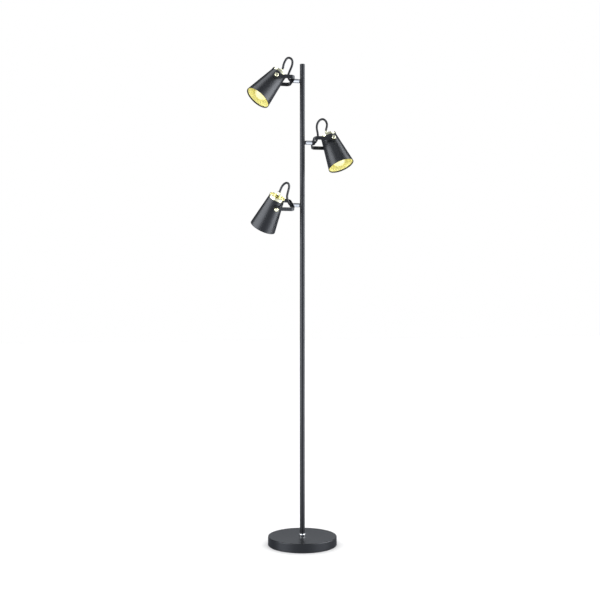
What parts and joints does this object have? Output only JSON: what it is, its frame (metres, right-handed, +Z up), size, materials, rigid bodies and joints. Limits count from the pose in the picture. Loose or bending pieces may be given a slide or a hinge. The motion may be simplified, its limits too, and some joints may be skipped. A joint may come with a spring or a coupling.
{
  "type": "floor lamp",
  "caption": "Slim pole on a heavy round base, with small tapered spot heads that swivel on stubs and tilt in bent strap yokes.",
  "frame": {"origin": "centre of the underside of the base, on the floor under the pole", "axes": "+Z up along the pole; the upper and lower heads reach out along -X; -Y is the front"},
  "size_m": [0.3398, 0.222, 1.5623],
  "materials": {
    "black_coat": "satin black powder coat",
    "gold_lining": "gold lacquer, half gloss",
    "brass": "polished and lacquered",
    "bright_metal": "bright plated",
    "zinc_steel": "zinc plated",
    "black_steel": "black oxide",
    "cast_weight": "as cast",
    "soft_pad": "dense foam",
    "black_plastic": "moulded, matte",
    "white_plastic": "moulded, matte",
    "black_flex": "smooth soft sheath",
    "opal_bulb": "opal, glossy"
  },
  "bodies": {
    "lamp_stand": {"base_cover": "black_coat", "base_weight": "cast_weight", "base_pad": "soft_pad", "pole_foot": "zinc_steel", "base_fixings": "zinc_steel", "pole_collar": "bright_metal", "pole_lower": "black_coat", "pole_middle": "black_coat", "pole_upper": "black_coat", "pole_joiners": "zinc_steel", "pole_cap": "black_coat", "cord_gland": "black_plastic", "terminal_block": "white_plastic", "inner_leads": "black_flex", "upper_pole_bush": "black_plastic", "upper_stub": "bright_metal", "upper_swivel_washers": "black_steel", "upper_stub_nut": "black_steel", "middle_pole_bush": "black_plastic", "middle_stub": "bright_metal", "middle_swivel_washers": "black_steel", "middle_stub_nut": "black_steel", "lower_pole_bush": "black_plastic", "lower_stub": "bright_metal", "lower_swivel_washers": "black_steel", "lower_stub_nut": "black_steel"},
    "upper_yoke_body": {"upper_yoke": "black_coat", "upper_flex_loop": "black_flex"},
    "upper_head": {"upper_shade": "black_coat", "upper_liner": "gold_lining", "upper_top_cup": "brass", "upper_cord_grip": "brass", "upper_lampholder": "black_plastic", "upper_bulb": "opal_bulb", "upper_pivot_inserts": "zinc_steel"},
    "upper_front_clamp": {"upper_front_knob": "brass"},
    "upper_rear_clamp": {"upper_rear_knob": "brass"},
    "middle_yoke_body": {"middle_yoke": "black_coat", "middle_flex_loop": "black_flex"},
    "middle_head": {"middle_shade": "black_coat", "middle_liner": "gold_lining", "middle_top_cup": "brass", "middle_cord_grip": "brass", "middle_lampholder": "black_plastic", "middle_bulb": "opal_bulb", "middle_pivot_inserts": "zinc_steel"},
    "middle_front_clamp": {"middle_front_knob": "brass"},
    "middle_rear_clamp": {"middle_rear_knob": "brass"},
    "lower_yoke_body": {"lower_yoke": "black_coat", "lower_flex_loop": "black_flex"},
    "lower_head": {"lower_shade": "black_coat", "lower_liner": "gold_lining", "lower_top_cup": "brass", "lower_cord_grip": "brass", "lower_lampholder": "black_plastic", "lower_bulb": "opal_bulb", "lower_pivot_inserts": "zinc_steel"},
    "lower_front_clamp": {"lower_front_knob": "brass"},
    "lower_rear_clamp": {"lower_rear_knob": "brass"}
  },
  "joints": [
    {"name": "upper_swivel", "type": "hinge", "parent": "lamp_stand", "child": "upper_yoke_body", "pos_m": [-0.032, 0, 1.4828], "axis": [-1, 0, 0], "range_deg": [-174.7, 155.3]},
    {"name": "upper_tilt", "type": "hinge", "parent": "upper_yoke_body", "child": "upper_head", "pos_m": [-0.0951, 0, 1.4828], "axis": [0, -0.9857, 0.1685], "range_deg": [-49.8, 60.2], "deforming": ["upper_flex_loop"]},
    {"name": "upper_front_knob_turn", "type": "hinge", "parent": "upper_head", "child": "upper_front_clamp", "pos_m": [-0.0951, -0.03355, 1.48853], "axis": [0, -0.9857, 0.1685], "range_deg": [0, 360]},
    {"name": "upper_rear_knob_turn", "type": "hinge", "parent": "upper_head", "child": "upper_rear_clamp", "pos_m": [-0.0951, 0.03355, 1.47707], "axis": [0, 0.9857, -0.1685], "range_deg": [0, 360]},
    {"name": "middle_swivel", "type": "hinge", "parent": "lamp_stand", "child": "middle_yoke_body", "pos_m": [0.03179, -0.00368, 1.287], "axis": [0.9934, -0.1149, 0], "range_deg": [-144.6, 185.4]},
    {"name": "middle_tilt", "type": "hinge", "parent": "middle_yoke_body", "child": "middle_head", "pos_m": [0.09447, -0.01093, 1.287], "axis": [0.1077, 0.9311, -0.3486], "range_deg": [-72.1, 37.9], "deforming": ["middle_flex_loop"]},
    {"name": "middle_front_knob_turn", "type": "hinge", "parent": "middle_head", "child": "middle_front_clamp", "pos_m": [0.0908, -0.04262, 1.29886], "axis": [-0.1077, -0.9311, 0.3486], "range_deg": [0, 360]},
    {"name": "middle_rear_knob_turn", "type": "hinge", "parent": "middle_head", "child": "middle_rear_clamp", "pos_m": [0.09814, 0.02076, 1.27514], "axis": [0.1077, 0.9311, -0.3486], "range_deg": [0, 360]},
    {"name": "lower_swivel", "type": "hinge", "parent": "lamp_stand", "child": "lower_yoke_body", "pos_m": [-0.032, 0, 1.086], "axis": [-1, 0, 0], "range_deg": [-135.1, 194.9]},
    {"name": "lower_tilt", "type": "hinge", "parent": "lower_yoke_body", "child": "lower_head", "pos_m": [-0.0951, 0, 1.086], "axis": [0, -0.8669, -0.4985], "range_deg": [-72.6, 37.4], "deforming": ["lower_flex_loop"]},
    {"name": "lower_front_knob_turn", "type": "hinge", "parent": "lower_head", "child": "lower_front_clamp", "pos_m": [-0.0951, -0.02951, 1.06903], "axis": [0, -0.8669, -0.4985], "range_deg": [0, 360]},
    {"name": "lower_rear_knob_turn", "type": "hinge", "parent": "lower_head", "child": "lower_rear_clamp", "pos_m": [-0.0951, 0.02951, 1.10297], "axis": [0, 0.8669, 0.4985], "range_deg": [0, 360]}
  ]
}
